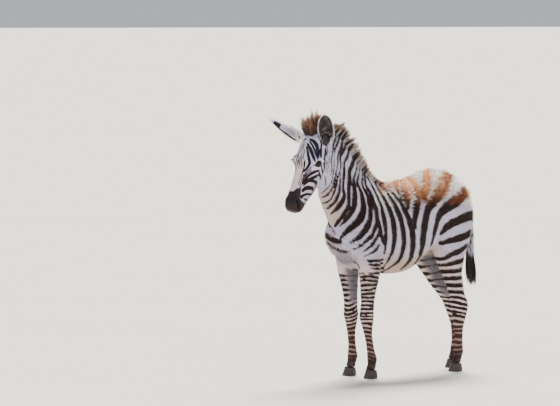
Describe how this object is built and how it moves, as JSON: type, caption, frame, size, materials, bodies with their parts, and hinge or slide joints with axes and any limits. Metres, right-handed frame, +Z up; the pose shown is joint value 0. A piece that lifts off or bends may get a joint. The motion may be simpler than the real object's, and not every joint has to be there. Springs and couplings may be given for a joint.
{
  "type": "zebra foal figure",
  "caption": "Life-size plains zebra foal standing still on four hooves, head turned a little to its left, with a short upright mane, large ears and a tufted tail.",
  "frame": {"origin": "on the floor, under the middle of the bounding box", "axes": "+Z up; the foal faces -Y, so its tail is towards +Y; its left side is +X"},
  "size_m": [0.2768, 1.1136, 1.1648],
  "materials": {
    "coat": "short matt fur, cream and grey white with brown-black stripes",
    "hair": "longer, coarser hair, black to red-brown",
    "hoof": "dull horn with fine rings",
    "eye": "wet, clear and dark"
  },
  "bodies": {
    "root": {"head": "coat", "neck": "coat", "trunk": "coat", "foreleg_left": "coat", "foreleg_right": "coat", "hindleg_left": "coat", "hindleg_right": "coat", "ear_left": "coat", "ear_right": "coat", "tail": "coat", "mane": "hair", "forelock": "hair", "tail_brush": "hair", "hoof_fore_left": "hoof", "hoof_fore_right": "hoof", "hoof_hind_left": "hoof", "hoof_hind_right": "hoof", "eye_left": "eye", "eye_right": "eye"}
  },
  "joints": []
}
